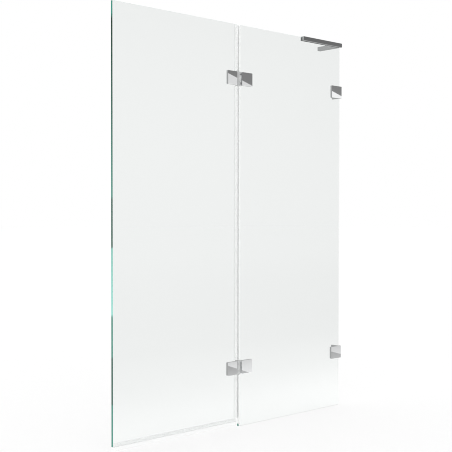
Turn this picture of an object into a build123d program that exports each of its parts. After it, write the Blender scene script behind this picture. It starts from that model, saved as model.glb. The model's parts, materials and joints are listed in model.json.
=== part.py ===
from build123d import *
import os

# Two-panel frameless bath screen: a fixed pane on the wall and a swing pane hinged to it.
# Sizes are in millimetres. While it is modelled, X = 0 is the wall, Y = 0 is the front face
# of the glass and Z = 0 is the bottom of the fixed pane. +Y points behind the glass, +Z is up.

# Glass panes
glass_thickness = 8.0
screen_width = 1154.0
screen_height = 1500.0
swing_bottom_z = 21.0
glass_arris = 0.4
wall_gap = 2.0
fix_gap = 0.05

# Hinge line: the distance of the axis from the wall, and of each glass edge from the axis
axis_to_wall = 585.4
swing_edge_to_axis = 4.1
fixed_edge_to_axis = 6.0

# Heights of the hinge and clamp centres
upper_fixing_inset = 200.0
lower_fixing_z = 222.0

# Plates of the hinges and wall clamps
plate_height = 50.0
plate_thickness = 8.0
plate_corner_radius = 2.0
plate_edge_chamfer = 0.5
gasket_thickness = 1.0
gasket_inset = 2.0

# Hinge leaves and knuckles
swing_leaf_to_axis = 10.6
fixed_leaf_to_axis = 13.8
swing_leaf_width = 47.0
fixed_leaf_width = 54.0
knuckle_radius = 10.0
barrel_height = 52.0
swing_knuckle_height = 24.8
web_thickness = 3.0
knuckle_chamfer = 0.8
notch_clearance = 1.5
notch_cover = 2.0
notch_corner_radius = 4.0

# Hinge pins, bushes and caps
pin_radius = 4.0
bush_wall = 1.5
bush_flange_thickness = 1.0
bush_flange_radius = 7.4
running_clearance = 0.05
end_play = 0.1
cap_thickness = 2.0

# Flush bolts that pass through conical holes in the glass
bolt_spacing = 26.0
bolt_head_radius = 9.0
bolt_shoulder_radius = 5.0
bolt_thread_radius = 3.0
bolt_thread_length = 5.5
bolt_cylinder_share = 0.5
sleeve_wall = 1.0
thread_end_space = 0.5
socket_flats = 5.0
socket_depth = 3.0

# Wall clamps: an L whose long leg lies on the glass and whose short leg lies on the wall
clamp_width = 61.5
clamp_bolt_to_wall = 34.0
wall_leg_thickness = 6.0
wall_leg_reach = 44.0
wall_leg_height = 47.0
wall_notch_clearance = 2.0
wall_notch_radius = 1.5
wall_hole_radius = 2.75
wall_hole_spacing = 26.0
wall_hole_head_radius = 5.0
wall_hole_y = 28.0

# Support bracket: an L of one bar along the top of the glass and one along the wall
bracket_top_rise = 3.5
bracket_height = 16.5
glass_arm_length = 233.0
front_jaw_thickness = 9.0
rear_jaw_thickness = 4.0
liner_thickness = 1.0
wall_arm_length = 115.5
wall_arm_width = 16.0
bracket_chamfer = 0.8
rail_height = 10.0
rail_thickness = 8.0
rail_end_inset = 7.0
rail_clearance = 0.3
rail_hole_radius = 2.75
rail_hole_spacing = 56.0
grub_radius = 2.5
grub_length = 4.0
grub_socket_flats = 2.5
grub_socket_depth = 1.5
glass_grub_places = (-200.0, -120.0, -40.0)
rail_grub_spacing = 28.0

# Clear seals on both upright edges and under the swing pane
seal_wall = 0.8
seal_clearance = 0.05
swing_seal_leg = 11.0
fixed_seal_leg = 7.5
fixed_seal_bottom_z = 7.0
bulb_clearance = 0.3
seal_end_gap = 0.5
sweep_leg = 11.5
sweep_floor = 1.5
sweep_lip_bottom_z = 5.5
sweep_lip_thickness = 1.0
sweep_lip_lean = 3.0

# Places worked out from the sizes above
axis_x = -axis_to_wall
axis_y = glass_thickness / 2
swing_edge_x = axis_x - swing_edge_to_axis
fixed_edge_x = axis_x + fixed_edge_to_axis
upper_fixing_z = screen_height - upper_fixing_inset
fixing_heights = {"upper": upper_fixing_z, "lower": lower_fixing_z}
notch_half_height = barrel_height / 2 + notch_clearance
plate_back_y = -gasket_thickness
plate_front_y = plate_back_y - plate_thickness
swing_leaf_x = axis_x - swing_leaf_to_axis
fixed_leaf_x = axis_x + fixed_leaf_to_axis
swing_bolt_x = swing_leaf_x - swing_leaf_width / 2
fixed_bolt_x = fixed_leaf_x + fixed_leaf_width / 2
bracket_top_z = screen_height + bracket_top_rise
bracket_bottom_z = bracket_top_z - bracket_height
seal_outside = seal_clearance + seal_wall
glass_arm_front_y = -liner_thickness - front_jaw_thickness
glass_arm_back_y = glass_thickness + liner_thickness + rear_jaw_thickness
rail_center_y = (glass_arm_back_y + wall_arm_length) / 2
row_origin = (0.0, wall_hole_y, lower_fixing_z)


def block(x0, x1, y0, y1, z0, z1):
    """A box between two corners."""
    size = Box(x1 - x0, y1 - y0, z1 - z0)
    return Pos((x0 + x1) / 2, (y0 + y1) / 2, (z0 + z1) / 2) * size


def upright_cylinder(radius, x, y, z0, z1):
    """A cylinder along Z between two heights."""
    return Pos(x, y, (z0 + z1) / 2) * Cylinder(radius, z1 - z0)


def turned_along_y(points, x, z):
    """A solid turned about a line along Y, from (radius, y) points."""
    face = make_face(Polyline(*[(radius, y) for radius, y in points], close=True))
    return Pos(x, 0, z) * revolve(face, Axis.Y)


def hexagon_pocket(flats, depth):
    """A hexagonal prism from Z = 0 down to -depth."""
    return extrude(RegularPolygon(flats / 2, 6, major_radius=False), -depth)


# Glass

def glass_hole_points():
    """The conical hole for a flush bolt, as (radius, y) points with some air past both faces."""
    cylinder_end = glass_thickness * bolt_cylinder_share
    small = bolt_shoulder_radius + sleeve_wall
    large = bolt_head_radius + sleeve_wall
    return [(0, -1), (small, -1), (small, cylinder_end), (large, glass_thickness),
            (large, glass_thickness + 1), (0, glass_thickness + 1)]


def edge_notch(x_inner, x_outer, z, half_height, radius):
    """A notch that is cut in from a pane's upright edge, with round inner corners."""
    notch = block(x_inner, x_outer, -1, glass_thickness + 1, z - half_height, z + half_height)
    return fillet(notch.edges().filter_by(Axis.Y), radius)


def bolt_heights(z):
    return (z - bolt_spacing / 2, z + bolt_spacing / 2)


def drilled_pane(x0, x1, z0, bolt_xs, notches):
    """A pane with polished edges, notched at its fittings and drilled for their bolts."""
    pane = block(x0, x1, 0, glass_thickness, z0, screen_height)
    pane = chamfer(pane.edges(), glass_arris)
    for notch in notches:
        pane -= notch
    for z in fixing_heights.values():
        for bolt_x in bolt_xs:
            for bolt_z in bolt_heights(z):
                pane -= turned_along_y(glass_hole_points(), bolt_x, bolt_z)
    return pane


def fixed_pane():
    run_out = 2 * notch_corner_radius
    notches = []
    for z in fixing_heights.values():
        notches.append(edge_notch(fixed_edge_x - run_out, fixed_leaf_x + notch_cover, z,
                                  notch_half_height, notch_corner_radius))
        notches.append(edge_notch(-wall_leg_thickness - wall_notch_clearance, run_out, z,
                                  wall_leg_height / 2 + wall_notch_clearance / 2, wall_notch_radius))
    return drilled_pane(fixed_edge_x, -wall_gap, 0, (fixed_bolt_x, -clamp_bolt_to_wall), notches)


def swing_pane():
    run_out = 2 * notch_corner_radius
    notches = [edge_notch(swing_leaf_x - notch_cover, swing_edge_x + run_out, z,
                          notch_half_height, notch_corner_radius) for z in fixing_heights.values()]
    return drilled_pane(-screen_width, swing_edge_x, swing_bottom_z, (swing_bolt_x,), notches)


# Fittings that lie on the glass

def plate(x0, x1, z):
    """A bright plate in front of the glass, with round corners and bevelled front edges."""
    half = plate_height / 2
    body = block(x0, x1, plate_front_y, plate_back_y, z - half, z + half)
    body = fillet(body.edges().filter_by(Axis.Y), plate_corner_radius)
    return chamfer(body.faces().sort_by(Axis.Y)[0].edges(), plate_edge_chamfer)


def drill_plate(body, bolt_x, z):
    """Blind threaded holes in the back of a plate."""
    depth = bolt_thread_length + thread_end_space
    for bolt_z in bolt_heights(z):
        hole = Rot(90, 0, 0) * Cylinder(bolt_thread_radius, depth)
        body -= Pos(bolt_x, plate_back_y - depth / 2, bolt_z) * hole
    return body


def gasket(x0, x1, bolt_x, z):
    """The thin pad between a plate and the glass."""
    half = plate_height / 2 - gasket_inset
    pad = block(x0, x1, plate_back_y, 0, z - half, z + half)
    for bolt_z in bolt_heights(z):
        hole = Rot(90, 0, 0) * Cylinder(bolt_shoulder_radius + fix_gap, 4 * gasket_thickness)
        pad -= Pos(bolt_x, 0, bolt_z) * hole
    return pad


def sleeves(bolt_x, z):
    """Plastic sleeves that keep the bolts off the glass."""
    cone_start = glass_thickness * bolt_cylinder_share
    inner, outer = bolt_shoulder_radius + fix_gap, bolt_shoulder_radius + sleeve_wall - fix_gap
    head_inner, head_outer = bolt_head_radius + fix_gap, bolt_head_radius + sleeve_wall - fix_gap
    points = [(inner, 0), (outer, 0), (outer, cone_start), (head_outer, glass_thickness),
              (head_inner, glass_thickness), (inner, cone_start)]
    return [turned_along_y(points, bolt_x, bolt_z) for bolt_z in bolt_heights(z)]


def bolts(bolt_x, z):
    """Bolts with a conical head, flush with the back of the glass."""
    cone_start = glass_thickness * bolt_cylinder_share
    thread_end = plate_back_y - bolt_thread_length
    points = [(0, thread_end), (bolt_thread_radius, thread_end), (bolt_thread_radius, plate_back_y),
              (bolt_shoulder_radius, plate_back_y), (bolt_shoulder_radius, cone_start),
              (bolt_head_radius, glass_thickness), (0, glass_thickness)]
    socket = Rot(-90, 0, 0) * hexagon_pocket(socket_flats, socket_depth)
    return [turned_along_y(points, bolt_x, bolt_z) - Pos(bolt_x, glass_thickness, bolt_z) * socket
            for bolt_z in bolt_heights(z)]


# Hinges

def knuckle(z0, z1, bore_radius):
    """One length of the hinge barrel, with bevelled ends."""
    tube = upright_cylinder(knuckle_radius, axis_x, axis_y, z0, z1)
    tube = chamfer(tube.edges(), knuckle_chamfer)
    return tube - upright_cylinder(bore_radius, axis_x, axis_y, z0 - 1, z1 + 1)


def web(x_leaf, z0, z1, bore_radius):
    """The bridge from a knuckle to the back edge of its leaf."""
    x0, x1 = sorted((axis_x, x_leaf))
    bridge = block(x0, x1, plate_back_y - web_thickness, plate_back_y, z0, z1)
    return bridge - upright_cylinder(bore_radius, axis_x, axis_y, z0 - 1, z1 + 1)


def fixed_leaf(z):
    leaf = drill_plate(plate(fixed_leaf_x, fixed_leaf_x + fixed_leaf_width, z), fixed_bolt_x, z)
    inner = swing_knuckle_height / 2 + bush_flange_thickness + end_play
    for side in (-1, 1):
        z0, z1 = sorted((z + side * inner, z + side * barrel_height / 2))
        leaf += knuckle(z0, z1, pin_radius)
        z0, z1 = sorted((z + side * inner, z + side * (plate_height / 2 - plate_corner_radius)))
        leaf += web(fixed_leaf_x + plate_edge_chamfer, z0, z1, pin_radius)
    return leaf


def swing_leaf(z):
    leaf = drill_plate(plate(swing_leaf_x - swing_leaf_width, swing_leaf_x, z), swing_bolt_x, z)
    half = swing_knuckle_height / 2
    bore = pin_radius + running_clearance + bush_wall
    leaf += knuckle(z - half, z + half, bore)
    return leaf + web(swing_leaf_x - plate_edge_chamfer, z - half, z + half, bore)


def hinge_pin(z):
    half = barrel_height / 2 - cap_thickness
    pin = upright_cylinder(pin_radius, axis_x, axis_y, z - half, z + half)
    return chamfer(pin.edges(), knuckle_chamfer / 2)


def hinge_caps(z):
    """Plugs that close both ends of the barrel."""
    top = barrel_height / 2
    return [upright_cylinder(pin_radius, axis_x, axis_y, *sorted((z + side * (top - cap_thickness),
                                                                   z + side * top))) for side in (-1, 1)]


def hinge_bushes(z):
    """Flanged plastic bushes in both ends of the swing knuckle."""
    half = swing_knuckle_height / 2
    bore = pin_radius + running_clearance
    bushes = []
    for side in (-1, 1):
        z0, z1 = sorted((z + side * end_play, z + side * half))
        f0, f1 = sorted((z + side * half, z + side * (half + bush_flange_thickness)))
        bush = upright_cylinder(bore + bush_wall, axis_x, axis_y, z0, z1)
        bush += upright_cylinder(bush_flange_radius, axis_x, axis_y, f0, f1)
        bushes.append(bush - upright_cylinder(bore, axis_x, axis_y, min(z0, f0) - 1, max(z1, f1) + 1))
    return bushes


# Wall clamps

def wall_clamp(z):
    """An L of one plate on the glass and one leg on the wall, through a notch in the glass."""
    clamp = drill_plate(plate(-clamp_width, 0, z), -clamp_bolt_to_wall, z)
    half = wall_leg_height / 2
    leg = block(-wall_leg_thickness, 0, plate_back_y - plate_thickness / 2, wall_leg_reach, z - half, z + half)
    leg = chamfer(leg.faces().sort_by(Axis.Y)[-1].edges(), plate_edge_chamfer)
    clamp += leg
    sink = wall_hole_head_radius - wall_hole_radius
    for hole_z in (z - wall_hole_spacing / 2, z + wall_hole_spacing / 2):
        shank = Rot(0, 90, 0) * Cylinder(wall_hole_radius, 3 * wall_leg_thickness)
        head = Rot(0, 90, 0) * Cone(wall_hole_head_radius, wall_hole_radius, sink)
        clamp -= Pos(0, wall_hole_y, hole_z) * shank
        clamp -= Pos(-wall_leg_thickness + sink / 2, wall_hole_y, hole_z) * head
    return clamp


# Support bracket

def support_bracket():
    """The L-shaped bar, slotted over the glass and hollow behind, where it hides its wall rail."""
    glass_arm = block(-glass_arm_length, 0, glass_arm_front_y, glass_arm_back_y,
                      bracket_bottom_z, bracket_top_z)
    wall_arm = block(-wall_arm_width, 0, glass_arm_front_y, wall_arm_length,
                     bracket_bottom_z, bracket_top_z)
    bracket = glass_arm + wall_arm
    wall_face = bracket.faces().sort_by(Axis.X)[-1]
    rims = [edge for edge in bracket.edges() if edge.bounding_box().min.X < wall_face.center().X - 1]
    bracket = chamfer(rims, bracket_chamfer)
    slot_top = screen_height + liner_thickness
    bracket -= block(-glass_arm_length - 1, 1, -liner_thickness, glass_thickness + liner_thickness,
                     bracket_bottom_z - 1, slot_top)
    half = rail_height / 2 + rail_clearance
    rail_z = bracket_bottom_z + bracket_height / 2
    bracket -= block(-rail_thickness - rail_clearance, 1,
                     glass_arm_back_y + rail_end_inset - rail_clearance,
                     wall_arm_length - rail_end_inset + rail_clearance, rail_z - half, rail_z + half)
    for x in glass_grub_places:
        hole = Rot(90, 0, 0) * Cylinder(grub_radius, 3 * rear_jaw_thickness)
        bracket -= Pos(x, glass_arm_back_y, glass_grub_z()) * hole
    for y in rail_grub_ys():
        bracket -= upright_cylinder(grub_radius, -rail_thickness / 2, y, rail_z + half - 1, bracket_top_z + 1)
    return bracket


def glass_grub_z():
    return (bracket_bottom_z + screen_height) / 2


def rail_grub_ys():
    return (rail_center_y - rail_grub_spacing / 2, rail_center_y + rail_grub_spacing / 2)


def bracket_liner():
    """The soft U between the bracket's slot and the top edge of the glass."""
    outside = block(-glass_arm_length + bracket_chamfer, -wall_gap, -liner_thickness,
                    glass_thickness + liner_thickness, bracket_bottom_z + bracket_chamfer,
                    screen_height + liner_thickness)
    return outside - block(-glass_arm_length - 1, 1, 0, glass_thickness, 0, screen_height)


def wall_rail():
    """The flat bar that is screwed to the wall inside the bracket's hollow."""
    rail_z = bracket_bottom_z + bracket_height / 2
    half = rail_height / 2
    rail = block(-rail_thickness, 0, glass_arm_back_y + rail_end_inset, wall_arm_length - rail_end_inset,
                 rail_z - half, rail_z + half)
    sink = wall_hole_head_radius - rail_hole_radius
    for side in (-1, 1):
        y = rail_center_y + side * rail_hole_spacing / 2
        rail -= Pos(0, y, rail_z) * Rot(0, 90, 0) * Cylinder(rail_hole_radius, 3 * rail_thickness)
        head = Rot(0, 90, 0) * Cone(wall_hole_head_radius, rail_hole_radius, sink)
        rail -= Pos(-rail_thickness + sink / 2, y, rail_z) * head
    return rail


def grub_screw(length):
    """A grub screw that stands on Z = 0, with its hexagon socket at the top."""
    body = chamfer(upright_cylinder(grub_radius, 0, 0, 0, length).edges(), grub_radius / 5)
    return body - Pos(0, 0, length) * hexagon_pocket(grub_socket_flats, grub_socket_depth)


def glass_grub_screws():
    """Grub screws in the back jaw, which press the liner on the glass."""
    seat_y = glass_thickness + liner_thickness
    return [Pos(x, seat_y, glass_grub_z()) * Rot(-90, 0, 0) * grub_screw(rear_jaw_thickness - fix_gap)
            for x in glass_grub_places]


def rail_grub_screws():
    """Grub screws in the top of the wall arm, which bear on the rail."""
    rail_top = bracket_bottom_z + (bracket_height + rail_height) / 2
    length = bracket_top_z - rail_top - fix_gap
    return [Pos(-rail_thickness / 2, y, rail_top) * grub_screw(length) for y in rail_grub_ys()]


# Seals

def edge_channel(edge_x, side, leg, z0, z1):
    """A clear channel on a pane's upright edge. side is 1 where the pane lies to the left of it."""
    outer_x = edge_x + side * seal_outside
    x0, x1 = sorted((outer_x, outer_x - side * leg))
    channel = block(x0, x1, -seal_outside, glass_thickness + seal_outside, z0, z1)
    inner_x = edge_x + side * seal_clearance
    x0, x1 = sorted((inner_x, inner_x - side * 2 * leg))
    return channel - block(x0, x1, -seal_clearance, glass_thickness + seal_clearance, z0 - 1, z1 + 1)


def swing_seal(z0, z1):
    """The swing pane's channel, with a hollow bulb round the hinge line."""
    radius = fixed_edge_to_axis - seal_outside - bulb_clearance
    bulb = upright_cylinder(radius, axis_x, axis_y, z0, z1)
    bulb -= upright_cylinder(radius - seal_wall, axis_x, axis_y, z0 - 1, z1 + 1)
    bulb -= block(axis_x - 2 * radius, swing_edge_x + seal_clearance + seal_wall / 2,
                  axis_y - radius, axis_y + radius, z0 - 1, z1 + 1)
    return edge_channel(swing_edge_x, 1, swing_seal_leg, z0, z1) + bulb


def vertical_seals():
    """Three lengths on each pane, cut around the hinges."""
    clear = notch_half_height + seal_end_gap
    lower_end, middle_start = lower_fixing_z - clear, lower_fixing_z + clear
    middle_end, upper_start = upper_fixing_z - clear, upper_fixing_z + clear
    swing_start = swing_bottom_z + sweep_leg + seal_end_gap
    lengths = {"bottom": (None, lower_end), "middle": (middle_start, middle_end),
               "top": (upper_start, screen_height)}
    seals = {}
    for place, (z0, z1) in lengths.items():
        seals["swing_seal_" + place] = swing_seal(z0 or swing_start, z1)
        seals["fixed_seal_" + place] = edge_channel(fixed_edge_x, -1, fixed_seal_leg,
                                                    z0 or fixed_seal_bottom_z, z1)
    return seals


def sweep_seal():
    """The clear channel under the swing pane, with its lip that sweeps the bath rim."""
    inside_z = swing_bottom_z - seal_clearance
    top_z = swing_bottom_z + sweep_leg
    channel = block(-screen_width, swing_edge_x, -seal_outside, glass_thickness + seal_outside,
                    inside_z - sweep_floor, top_z)
    channel -= block(-screen_width - 1, swing_edge_x + 1, -seal_clearance, glass_thickness + seal_clearance,
                     inside_z, top_z + 1)
    half = sweep_lip_thickness / 2
    lip_y = axis_y - sweep_lip_lean
    root_z = inside_z - sweep_floor / 2
    outline = Polyline((axis_y - half, root_z), (axis_y + half, root_z),
                       (lip_y + half, sweep_lip_bottom_z), (lip_y - half, sweep_lip_bottom_z), close=True)
    lip = extrude(Plane.YZ * make_face(outline), swing_edge_x + screen_width)
    return channel + Pos(-screen_width, 0, 0) * lip


def hinge_nodes(name, z):
    swing_x1 = swing_leaf_x - gasket_inset
    swing_x0 = swing_x1 - swing_leaf_width + 2 * gasket_inset
    fixed_x0 = fixed_leaf_x + gasket_inset
    fixed_x1 = fixed_x0 + fixed_leaf_width - 2 * gasket_inset
    return {
        name + "_hinge_fixed_leaf": fixed_leaf(z),
        name + "_hinge_fixed_gasket": gasket(fixed_x0, fixed_x1, fixed_bolt_x, z),
        name + "_hinge_fixed_sleeves": sleeves(fixed_bolt_x, z),
        name + "_hinge_fixed_bolts": bolts(fixed_bolt_x, z),
        name + "_hinge_swing_leaf": swing_leaf(z),
        name + "_hinge_swing_gasket": gasket(swing_x0, swing_x1, swing_bolt_x, z),
        name + "_hinge_swing_sleeves": sleeves(swing_bolt_x, z),
        name + "_hinge_swing_bolts": bolts(swing_bolt_x, z),
        name + "_hinge_pin": hinge_pin(z),
        name + "_hinge_caps": hinge_caps(z),
        name + "_hinge_bushes": hinge_bushes(z),
    }


def clamp_nodes(name, z):
    x0 = -clamp_width + gasket_inset
    x1 = -wall_leg_thickness - wall_notch_clearance
    return {
        name + "_wall_clamp": wall_clamp(z),
        name + "_clamp_gasket": gasket(x0, x1, -clamp_bolt_to_wall, z),
        name + "_clamp_sleeves": sleeves(-clamp_bolt_to_wall, z),
        name + "_clamp_bolts": bolts(-clamp_bolt_to_wall, z),
    }


def all_nodes():
    nodes = {"fixed_pane": fixed_pane(), "swing_pane": swing_pane()}
    for name, z in fixing_heights.items():
        nodes.update(hinge_nodes(name, z))
        nodes.update(clamp_nodes(name, z))
    nodes["support_bracket"] = support_bracket()
    nodes["support_bracket_liner"] = bracket_liner()
    nodes["support_bracket_wall_rail"] = wall_rail()
    nodes["support_bracket_glass_screws"] = glass_grub_screws()
    nodes["support_bracket_rail_screws"] = rail_grub_screws()
    nodes.update(vertical_seals())
    nodes["sweep_seal"] = sweep_seal()
    return nodes


def write_nodes():
    """Write each node with the part's origin at the lower wall clamp's screw holes."""
    os.makedirs("parts", exist_ok=True)
    shift = Pos(*[-value for value in row_origin])
    for node, shape in all_nodes().items():
        solids = shape if isinstance(shape, list) else shape.solids()
        export_step(Compound(children=[shift * solid for solid in solids]), "parts/" + node + ".step")


write_nodes()
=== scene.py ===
import json
import math

import bpy
from mathutils import Matrix, Vector

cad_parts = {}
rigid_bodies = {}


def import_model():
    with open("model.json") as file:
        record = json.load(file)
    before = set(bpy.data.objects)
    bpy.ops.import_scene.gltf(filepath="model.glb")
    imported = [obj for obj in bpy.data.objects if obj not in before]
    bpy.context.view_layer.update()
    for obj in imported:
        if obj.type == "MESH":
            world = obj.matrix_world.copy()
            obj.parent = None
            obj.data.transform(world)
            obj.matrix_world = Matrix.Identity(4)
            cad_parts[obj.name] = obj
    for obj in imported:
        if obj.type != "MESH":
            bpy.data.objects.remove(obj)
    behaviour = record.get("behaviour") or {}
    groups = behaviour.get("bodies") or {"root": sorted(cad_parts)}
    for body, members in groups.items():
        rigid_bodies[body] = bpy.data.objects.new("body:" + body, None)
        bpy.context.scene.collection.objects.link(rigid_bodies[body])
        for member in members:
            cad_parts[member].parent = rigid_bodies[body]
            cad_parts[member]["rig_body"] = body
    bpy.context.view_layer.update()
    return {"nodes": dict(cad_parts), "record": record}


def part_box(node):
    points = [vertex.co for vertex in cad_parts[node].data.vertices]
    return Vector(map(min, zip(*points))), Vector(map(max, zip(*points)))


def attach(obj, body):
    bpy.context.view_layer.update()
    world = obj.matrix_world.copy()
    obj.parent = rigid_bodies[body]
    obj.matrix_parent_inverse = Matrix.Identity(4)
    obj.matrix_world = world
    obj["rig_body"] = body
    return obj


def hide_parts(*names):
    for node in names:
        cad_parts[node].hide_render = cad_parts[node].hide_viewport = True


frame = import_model()

# Row frame: the camera was fitted with the wall at X = 0 and the front of the glass at Y = 0
GLASS_FRONT_Y = -0.028
RIM_Z = -0.222
PLATE_FRONT_Y = GLASS_FRONT_Y - 0.009

# Glass edges: heights above the rim in metres, with the green seen there. On the swing pane's left edge, the light
# and dark bands over the glass's green are painted light and shade from the surroundings.
GLASS_HEIGHT = 1.5
FACE_NORMAL = 0.9
EDGE_DEPTH = 0.001
SEAM_REACH = 0.025
DARK_GREEN = (0.005, 0.025, 0.016)
DEEP_GREEN = (0.014, 0.09, 0.063)
MID_GREEN = (0.04, 0.24, 0.18)
MINT_GREEN = (0.17, 0.5, 0.42)
PALE_MINT = (0.27, 0.68, 0.6)
NEAR_WHITE = (0.98, 0.985, 0.98)
# The swing pane's left edge: the glass's green, with light and dark bands of painted light and shade
SWING_EDGE_GREENS_AND_PAINTED_LIGHT = [
    (0.0, MID_GREEN), (0.158, MID_GREEN), (0.162, DEEP_GREEN), (0.316, DEEP_GREEN), (0.32, MID_GREEN),
    (0.455, MID_GREEN), (0.459, PALE_MINT), (0.68, MINT_GREEN), (0.686, DEEP_GREEN), (0.846, DEEP_GREEN),
    (0.852, MID_GREEN), (1.15, DEEP_GREEN), (1.44, DARK_GREEN), (1.46, MID_GREEN),
]
SEAM_GREENS = [(0.0, MID_GREEN), (0.0065, MID_GREEN), (0.0075, NEAR_WHITE), (1.5, NEAR_WHITE)]
CUT_EDGE_GREENS = [(0.0, DEEP_GREEN), (1.5, MID_GREEN)]

# Air between the rubber pads and the glass, so that the pads show through it
PAD_AIR = 0.0001

# The sweep seal's floor under the swing pane, above which its channel is
SWEEP_FLOOR = 0.0016

# Hinge barrels: their half width, and how metallic their grey is, a painted reflection in place of the chrome they
# really have
KNUCKLE_REACH = 0.0103
BARREL_PAINTED_REFLECTION_METALLIC = 0.4

# Camera, from the fit to the photograph's edges
CAMERA_PLACE = (-2.89451, -2.44538 + GLASS_FRONT_Y, 0.79631 + RIM_Z)
CAMERA_YAW = math.radians(42.619)
CAMERA_PITCH = math.radians(0.950)
CAMERA_ROLL = math.radians(0.055)
FRAME_PIXELS = 452
FOCAL_PIXELS = 900.86
CENTRE_BELOW_MIDDLE = 2.80
SENSOR = 36.0
SHARP_FILTER = 1.0


def add_camera():
    data = bpy.data.cameras.new("camera")
    data.sensor_width = SENSOR
    data.lens = SENSOR * FOCAL_PIXELS / FRAME_PIXELS
    data.shift_y = CENTRE_BELOW_MIDDLE / FRAME_PIXELS
    camera = bpy.data.objects.new("camera", data)
    camera.location = CAMERA_PLACE
    camera.rotation_euler = (math.pi / 2 - CAMERA_PITCH, -CAMERA_ROLL, -CAMERA_YAW)
    bpy.context.scene.collection.objects.link(camera)
    bpy.context.scene.camera = camera
    bpy.context.view_layer.update()
    return camera


# Materials

def new_material(name):
    material = bpy.data.materials.new(name)
    material.use_nodes = True
    tree = material.node_tree
    return material, tree, tree.nodes["Principled BSDF"]


def noise(tree, scale, detail=3.0, stretch=(1, 1, 1)):
    """Noise in the part's own coordinates."""
    place = tree.nodes.new("ShaderNodeTexCoord")
    mapping = tree.nodes.new("ShaderNodeMapping")
    mapping.inputs["Scale"].default_value = stretch
    texture = tree.nodes.new("ShaderNodeTexNoise")
    texture.inputs["Scale"].default_value = scale
    texture.inputs["Detail"].default_value = detail
    tree.links.new(place.outputs["Object"], mapping.inputs["Vector"])
    tree.links.new(mapping.outputs["Vector"], texture.inputs["Vector"])
    return texture.outputs["Fac"]


def ramp(tree, factor, low, high):
    """A value or colour between low and high."""
    if isinstance(low, (int, float)):
        node = tree.nodes.new("ShaderNodeMapRange")
        node.inputs["From Min"].default_value = 0.3
        node.inputs["From Max"].default_value = 0.7
        node.inputs["To Min"].default_value = low
        node.inputs["To Max"].default_value = high
        tree.links.new(factor, node.inputs["Value"])
        return node.outputs["Result"]
    node = tree.nodes.new("ShaderNodeValToRGB")
    node.color_ramp.elements[0].position = 0.3
    node.color_ramp.elements[1].position = 0.7
    node.color_ramp.elements[0].color = (*low, 1)
    node.color_ramp.elements[1].color = (*high, 1)
    tree.links.new(factor, node.inputs["Fac"])
    return node.outputs["Color"]


def scaled(tree, value, from_min, from_max):
    """A value brought to the range 0 to 1."""
    node = tree.nodes.new("ShaderNodeMapRange")
    node.inputs["From Min"].default_value = from_min
    node.inputs["From Max"].default_value = from_max
    tree.links.new(value, node.inputs["Value"])
    return node.outputs["Result"]


def colour_stops(tree, factor, stops):
    """A colour ramp from (position, colour) stops."""
    node = tree.nodes.new("ShaderNodeValToRGB")
    elements = node.color_ramp.elements
    while len(elements) < len(stops):
        elements.new(0.5)
    for element, (position, colour) in zip(elements, stops):
        element.position = position
        element.color = (*colour, 1)
    tree.links.new(factor, node.inputs["Fac"])
    return node.outputs["Color"]


def bump(tree, shader, factor, distance, strength=1.0):
    node = tree.nodes.new("ShaderNodeBump")
    node.inputs["Distance"].default_value = distance
    node.inputs["Strength"].default_value = strength
    tree.links.new(factor, node.inputs["Height"])
    tree.links.new(node.outputs["Normal"], shader.inputs["Normal"])


def clear_glass():
    material, tree, shader = new_material("clear_glass")
    shader.inputs["Transmission Weight"].default_value = 1.0
    shader.inputs["IOR"].default_value = 1.52
    shader.inputs["Roughness"].default_value = 0.0
    tint = ramp(tree, noise(tree, 1.5), (0.927, 0.944, 0.936), (0.932, 0.948, 0.94))
    tree.links.new(tint, shader.inputs["Base Color"])
    return material


def glass_edge(name, stops):
    """A polished edge, green in bands of height above the rim, and clear where it is seen from inside the glass. On
    the swing pane's left edge the bands are painted light and shade over the glass's green.
    """
    material, tree, shader = new_material(name)
    place = tree.nodes.new("ShaderNodeTexCoord")
    parts = tree.nodes.new("ShaderNodeSeparateXYZ")
    tree.links.new(place.outputs["Object"], parts.inputs[0])
    height = scaled(tree, parts.outputs["Z"], RIM_Z, RIM_Z + GLASS_HEIGHT)
    bands = colour_stops(tree, height, [(z / GLASS_HEIGHT, colour) for z, colour in stops])
    tree.links.new(bands, shader.inputs["Base Color"])
    tree.links.new(ramp(tree, noise(tree, 30), 0.12, 0.2), shader.inputs["Roughness"])
    shader.inputs["Specular IOR Level"].default_value = 0.15
    side = tree.nodes.new("ShaderNodeNewGeometry")
    outside = tree.nodes.new("ShaderNodeMath")
    outside.operation = "SUBTRACT"
    outside.inputs[0].default_value = 1.0
    tree.links.new(side.outputs["Backfacing"], outside.inputs[1])
    tree.links.new(outside.outputs[0], shader.inputs["Alpha"])
    return material


def vinyl(name, low, high, alpha):
    material, tree, shader = new_material(name)
    shader.inputs["IOR"].default_value = 1.4
    shader.inputs["Alpha"].default_value = alpha
    tree.links.new(ramp(tree, noise(tree, 15), 0.35, 0.4), shader.inputs["Roughness"])
    tree.links.new(ramp(tree, noise(tree, 10), low, high), shader.inputs["Base Color"])
    return material


def metal(name, low, high, roughness, scale=60, stretch=(1, 1, 1)):
    material, tree, shader = new_material(name)
    shader.inputs["Metallic"].default_value = 1.0
    factor = noise(tree, scale, stretch=stretch)
    tree.links.new(ramp(tree, factor, low, high), shader.inputs["Base Color"])
    tree.links.new(ramp(tree, factor, *roughness), shader.inputs["Roughness"])
    return material


def soft_plastic(name, low, high, roughness, scale=200):
    material, tree, shader = new_material(name)
    factor = noise(tree, scale)
    tree.links.new(ramp(tree, factor, low, high), shader.inputs["Base Color"])
    tree.links.new(ramp(tree, factor, *roughness), shader.inputs["Roughness"])
    bump(tree, shader, factor, 0.0001)
    return material


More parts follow.
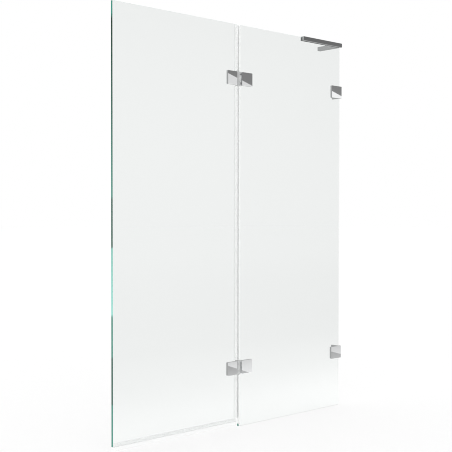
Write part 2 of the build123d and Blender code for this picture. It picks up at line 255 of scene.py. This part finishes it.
def dress():
    """Give every node its material from the record's slot."""
    finishes = {
        "clear_glass": clear_glass(),
        "clear_vinyl": vinyl("clear_vinyl", (0.89, 0.905, 0.9), (0.91, 0.925, 0.92), 0.12),
        "chrome": metal("chrome", (0.9, 0.91, 0.915), (0.93, 0.94, 0.945), (0.015, 0.03)),
        "bright_steel": metal("bright_steel", (0.55, 0.56, 0.57), (0.63, 0.64, 0.65), (0.2, 0.3)),
        "rail_aluminium": metal("rail_aluminium", (0.66, 0.66, 0.67), (0.74, 0.74, 0.75), (0.35, 0.5),
                                scale=300, stretch=(1, 0.05, 1)),
        "gasket_rubber": soft_plastic("gasket_rubber", (0.33, 0.335, 0.34), (0.37, 0.375, 0.38), (0.6, 0.8)),
        "white_nylon": soft_plastic("white_nylon", (0.74, 0.74, 0.72), (0.8, 0.8, 0.78), (0.4, 0.5)),
    }
    for part in frame["record"]["subparts"]:
        node = frame["nodes"][part["node"]]
        node.data.materials.clear()
        node.data.materials.append(finishes[part["material_slot"]])
        for polygon in node.data.polygons:
            polygon.material_index = 0
        if part["node"].endswith("_gasket"):
            add_pad(node, part["node"])
    # The swing pane's left edge carries painted light and shade in its bands of green
    edges = [glass_edge("swing_edge_green_painted_light", SWING_EDGE_GREENS_AND_PAINTED_LIGHT), glass_edge("seam_edge", SEAM_GREENS),
             glass_edge("cut_edge_green", CUT_EDGE_GREENS)]
    for pane in ("swing_pane", "fixed_pane"):
        dress_edges(frame["nodes"][pane], edges)
    # The sweep seal's channel gets a greyer copy of its clear vinyl: painted shade
    dress_sweep(vinyl("sweep_vinyl_painted_shade", (0.79, 0.805, 0.8), (0.81, 0.825, 0.82), 0.13))
    # The barrels' duller grey is a painted reflection: the real barrels are the same chrome as the plates
    barrel_painted_reflection = metal("barrel_grey_painted_reflection", (0.6, 0.61, 0.61), (0.64, 0.65, 0.65), (0.3, 0.36))
    barrel_painted_reflection.node_tree.nodes["Principled BSDF"].inputs["Metallic"].default_value = BARREL_PAINTED_REFLECTION_METALLIC
    for hinge in ("upper_hinge", "lower_hinge"):
        for leaf in ("_swing_leaf", "_fixed_leaf"):
            dress_knuckles(frame["nodes"][hinge + leaf], barrel_painted_reflection)


def pin_x():
    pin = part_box("upper_hinge_pin")
    return (pin[0][0] + pin[1][0]) / 2


def dress_edges(pane, edges):
    """Give a pane's cut edges their greens, paler beside the hinge line, where the seals lie on them."""
    for edge in edges:
        pane.data.materials.append(edge)
    left_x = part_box("swing_pane")[0][0]
    hinge_x = pin_x()
    for polygon in pane.data.polygons:
        if abs(polygon.normal.y) < FACE_NORMAL:
            on_left = polygon.center.x - left_x < EDGE_DEPTH
            on_seam = abs(polygon.center.x - hinge_x) < SEAM_REACH
            polygon.material_index = 1 if on_left else 2 if on_seam else 3


def dress_sweep(shaded_channel):
    """Give the sweep seal's channel a greyer vinyl than its lip, painted shade on the same clear vinyl."""
    sweep = frame["nodes"]["sweep_seal"]
    sweep.data.materials.append(shaded_channel)
    lip_top_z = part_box("swing_pane")[0][2] - SWEEP_FLOOR
    for polygon in sweep.data.polygons:
        if polygon.center.z > lip_top_z:
            polygon.material_index = 1


def add_pad(node, name):
    """A rubber pad in place of its node, with a hair of air in front of the glass."""
    pad = bpy.data.objects.new(name + "_pad", node.data.copy())
    bpy.context.scene.collection.objects.link(pad)
    for vertex in pad.data.vertices:
        vertex.co.y = min(vertex.co.y, GLASS_FRONT_Y - PAD_AIR)
    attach(pad, node["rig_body"])
    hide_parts(name)


def dress_knuckles(leaf, barrel_painted_reflection):
    """Give a hinge leaf's barrel and its bridge a duller grey metal, a painted reflection in place of their chrome.
    """
    leaf.data.materials.append(barrel_painted_reflection)
    hinge_x = pin_x()
    for polygon in leaf.data.polygons:
        if abs(polygon.center.x - hinge_x) < KNUCKLE_REACH:
            polygon.material_index = 1


# Surroundings

def mix(tree, factor, first, second):
    node = tree.nodes.new("ShaderNodeMixShader")
    tree.links.new(factor, node.inputs[0])
    tree.links.new(first, node.inputs[1])
    tree.links.new(second, node.inputs[2])
    return node.outputs[0]


def emission(tree, kind, strength, color=None):
    node = tree.nodes.new(kind)
    node.inputs["Strength"].default_value = strength
    if color is not None:
        tree.links.new(color, node.inputs["Color"])
    return node.outputs[0]


def grey_steps(tree, factor, steps):
    return colour_stops(tree, factor, [(position, (value, value, value)) for position, value in steps])


def compare(tree, value, operation, limit):
    node = tree.nodes.new("ShaderNodeMath")
    node.operation = operation
    tree.links.new(value, node.inputs[0])
    node.inputs[1].default_value = limit
    return node.outputs[0]


def ray_kinds(tree):
    """Two switches: 1 once a ray has left a dull surface, and 1 once it has left a bright one."""
    path = tree.nodes.new("ShaderNodeLightPath")
    return [compare(tree, path.outputs[kind], "GREATER_THAN", 0.5) for kind in ("Diffuse Depth", "Glossy Depth")]


def add_world():
    """White behind the object, a soft light on it, and a grey room in its reflections."""
    world = bpy.data.worlds.new("studio")
    world.use_nodes = True
    bpy.context.scene.world = world
    tree = world.node_tree
    tree.nodes.clear()
    output = tree.nodes.new("ShaderNodeOutputWorld")
    dull, bright = ray_kinds(tree)
    place = tree.nodes.new("ShaderNodeTexCoord")
    parts = tree.nodes.new("ShaderNodeSeparateXYZ")
    tree.links.new(place.outputs["Generated"], parts.inputs[0])
    height = scaled(tree, parts.outputs["Z"], -0.3, 0.5)
    front = grey_steps(tree, height, [(0.0, 0.2), (0.32, 0.25), (0.46, 0.29), (0.52, 0.26), (0.57, 0.22),
                                      (0.61, 0.15), (0.66, 0.08), (0.75, 0.2), (1, 0.5)])
    back = grey_steps(tree, height, [(0.0, 0.4), (0.375, 0.42), (1, 0.5)])
    side = scaled(tree, parts.outputs["Y"], -0.1, 0.1)
    room = mix(tree, side, emission(tree, "ShaderNodeBackground", 1, front),
               emission(tree, "ShaderNodeBackground", 1, back))
    light = emission(tree, "ShaderNodeBackground", 1.12)
    tree.nodes[-1].inputs["Color"].default_value = (1, 1, 1, 1)
    backdrop = emission(tree, "ShaderNodeBackground", 1)
    tree.nodes[-1].inputs["Color"].default_value = (1, 1, 1, 1)
    seen = mix(tree, bright, backdrop, room)
    tree.links.new(mix(tree, dull, seen, light), output.inputs["Surface"])


# How much of the floor's own shading the camera sees over white
SHADOW_SHARE = 0.25

# The floor as bright surfaces show it, a painted reflection that glows brightest near the glass: metres towards the
# camera from the glass, with a grey.
# It fades to one grey past the wall's line, where X + WALL_SLOPE * Y is over WALL_LINE, and left of LEFT_LINE.
WALL_LINE = 0.3
WALL_SLOPE = 1.3
LEFT_LINE = -1.25
SIDE_FADE = 0.5
SIDE_GREY = 0.42
FLOOR_BEHIND = 0.5
FLOOR_IN_FRONT = 10.0
FLOOR_GLOW = 1.5
PAINTED_FLOOR_REFLECTION_STEPS = [(-0.5, 0.28), (0.0, 1.0), (0.3, 0.9), (0.7, 0.47), (0.85, 0.35), (1.1, 0.25),
               (1.6, 0.067), (2.5, 0.02), (4.0, 0.033), (10.0, 0.133)]


def add_floor():
    """A pale floor at the bath rim's height, which shows bright surfaces a painted reflection of glowing greys."""
    size = 40
    mesh = bpy.data.meshes.new("floor")
    corners = [(-size, -size, RIM_Z), (size, -size, RIM_Z), (size, size, RIM_Z), (-size, size, RIM_Z)]
    mesh.from_pydata(corners, [], [(0, 1, 2, 3)])
    floor = bpy.data.objects.new("floor", mesh)
    bpy.context.scene.collection.objects.link(floor)
    material, tree, shader = new_material("floor")
    shader.inputs["Base Color"].default_value = (0.93, 0.93, 0.93, 1)
    shader.inputs["Roughness"].default_value = 1.0
    shader.inputs["Specular IOR Level"].default_value = 0.0
    output = tree.nodes["Material Output"]
    dull, bright = ray_kinds(tree)
    place = tree.nodes.new("ShaderNodeTexCoord")
    parts = tree.nodes.new("ShaderNodeSeparateXYZ")
    tree.links.new(place.outputs["Object"], parts.inputs[0])
    away = scaled(tree, parts.outputs["Y"], FLOOR_BEHIND, -FLOOR_IN_FRONT)
    depth = FLOOR_BEHIND + FLOOR_IN_FRONT
    steps = [((FLOOR_BEHIND + forward) / depth, value) for forward, value in PAINTED_FLOOR_REFLECTION_STEPS]
    # Painted reflection: glowing greys that bright surfaces see in place of the floor, brightest near the glass
    painted_floor_reflection = emission(tree, "ShaderNodeEmission", FLOOR_GLOW, grey_steps(tree, away, steps))
    across = tree.nodes.new("ShaderNodeMath")
    across.operation = "MULTIPLY_ADD"
    tree.links.new(parts.outputs["Y"], across.inputs[0])
    across.inputs[1].default_value = WALL_SLOPE
    tree.links.new(parts.outputs["X"], across.inputs[2])
    past_wall = scaled(tree, across.outputs[0], WALL_LINE, WALL_LINE + SIDE_FADE)
    past_left = scaled(tree, parts.outputs["X"], LEFT_LINE, LEFT_LINE - SIDE_FADE)
    sides = tree.nodes.new("ShaderNodeMath")
    sides.operation = "MAXIMUM"
    tree.links.new(past_wall, sides.inputs[0])
    tree.links.new(past_left, sides.inputs[1])
    painted_floor_reflection = mix(tree, sides.outputs[0], painted_floor_reflection, emission(tree, "ShaderNodeEmission", SIDE_GREY))
    pale = emission(tree, "ShaderNodeEmission", 1)
    blend = tree.nodes.new("ShaderNodeMixShader")
    blend.inputs[0].default_value = SHADOW_SHARE
    tree.links.new(pale, blend.inputs[1])
    tree.links.new(shader.outputs[0], blend.inputs[2])
    seen = mix(tree, bright, blend.outputs[0], painted_floor_reflection)
    tree.links.new(mix(tree, dull, seen, shader.outputs[0]), output.inputs["Surface"])
    mesh.materials.append(material)


# Reflector cards: each is seen only in the bright metal, and its edge gives a fitting its bright and dark parts

CARD_DISTANCE = 1.0
CARD_DEPTH = 0.3
CARDS = [
    ((219.0, 68.2), (265.0, 92.5), 1, 0.52),
    ((322.0, 85.4), (352.0, 102.0), 1, 0.72),
    ((215.0, 361.7), (262.0, 376.5), -1, 0.35),
    ((320.0, 348.7), (352.0, 356.7), -1, 0.31),
]


def through_pixel(camera, x, y, plate_y, beyond):
    """The point a given way behind the plates' plane on the line of sight through a place in the picture."""
    middle = FRAME_PIXELS / 2
    across = (x - middle) / FOCAL_PIXELS
    down = (y - middle - CENTRE_BELOW_MIDDLE) / FOCAL_PIXELS
    sight = camera.matrix_world.to_3x3() @ Vector((across, -down, -1))
    reach = (plate_y - camera.location.y) / sight.y
    return camera.location + sight * (reach + beyond / sight.length)


def mirrored(point, plate_y):
    return Vector((point.x, 2 * plate_y - point.y, point.z))


def add_cards(camera):
    bright = bpy.data.collections.new("bright_metal")
    for part in frame["record"]["subparts"]:
        if part["material_slot"] == "chrome":
            bright.objects.link(frame["nodes"][part["node"]])
    for number, (start, end, side, strength) in enumerate(CARDS):
        ends = [mirrored(through_pixel(camera, *place, PLATE_FRONT_Y, CARD_DISTANCE), PLATE_FRONT_Y)
                for place in (start, end)]
        along = (ends[1] - ends[0]).normalized()
        facing = Vector((-math.sin(CAMERA_YAW), math.cos(CAMERA_YAW), 0))
        facing = (facing - along * facing.dot(along)).normalized()
        lift = along.cross(facing).normalized()
        if lift.z < 0:
            lift = -lift
        lift = -lift * side
        middle = (ends[0] + ends[1]) / 2 + lift * CARD_DEPTH / 2
        data = bpy.data.lights.new("card_%d" % number, "AREA")
        data.shape = "RECTANGLE"
        data.size = (ends[1] - ends[0]).length
        data.size_y = CARD_DEPTH
        data.energy = strength * math.pi * data.size * data.size_y
        card = bpy.data.objects.new("card_%d" % number, data)
        bpy.context.scene.collection.objects.link(card)
        back = -facing
        up = back.cross(along)
        rotation = [[along.x, up.x, back.x], [along.y, up.y, back.y], [along.z, up.z, back.z]]
        card.rotation_mode = "QUATERNION"
        card.rotation_quaternion = Matrix(rotation).to_quaternion()
        card.location = middle
        card.visible_camera = False
        card.visible_transmission = False
        card.visible_diffuse = False
        card.light_linking.receiver_collection = bright


bpy.context.scene.view_settings.view_transform = "Standard"
bpy.context.scene.cycles.filter_width = SHARP_FILTER
camera = add_camera()
dress()
add_world()
add_floor()
add_cards(camera)
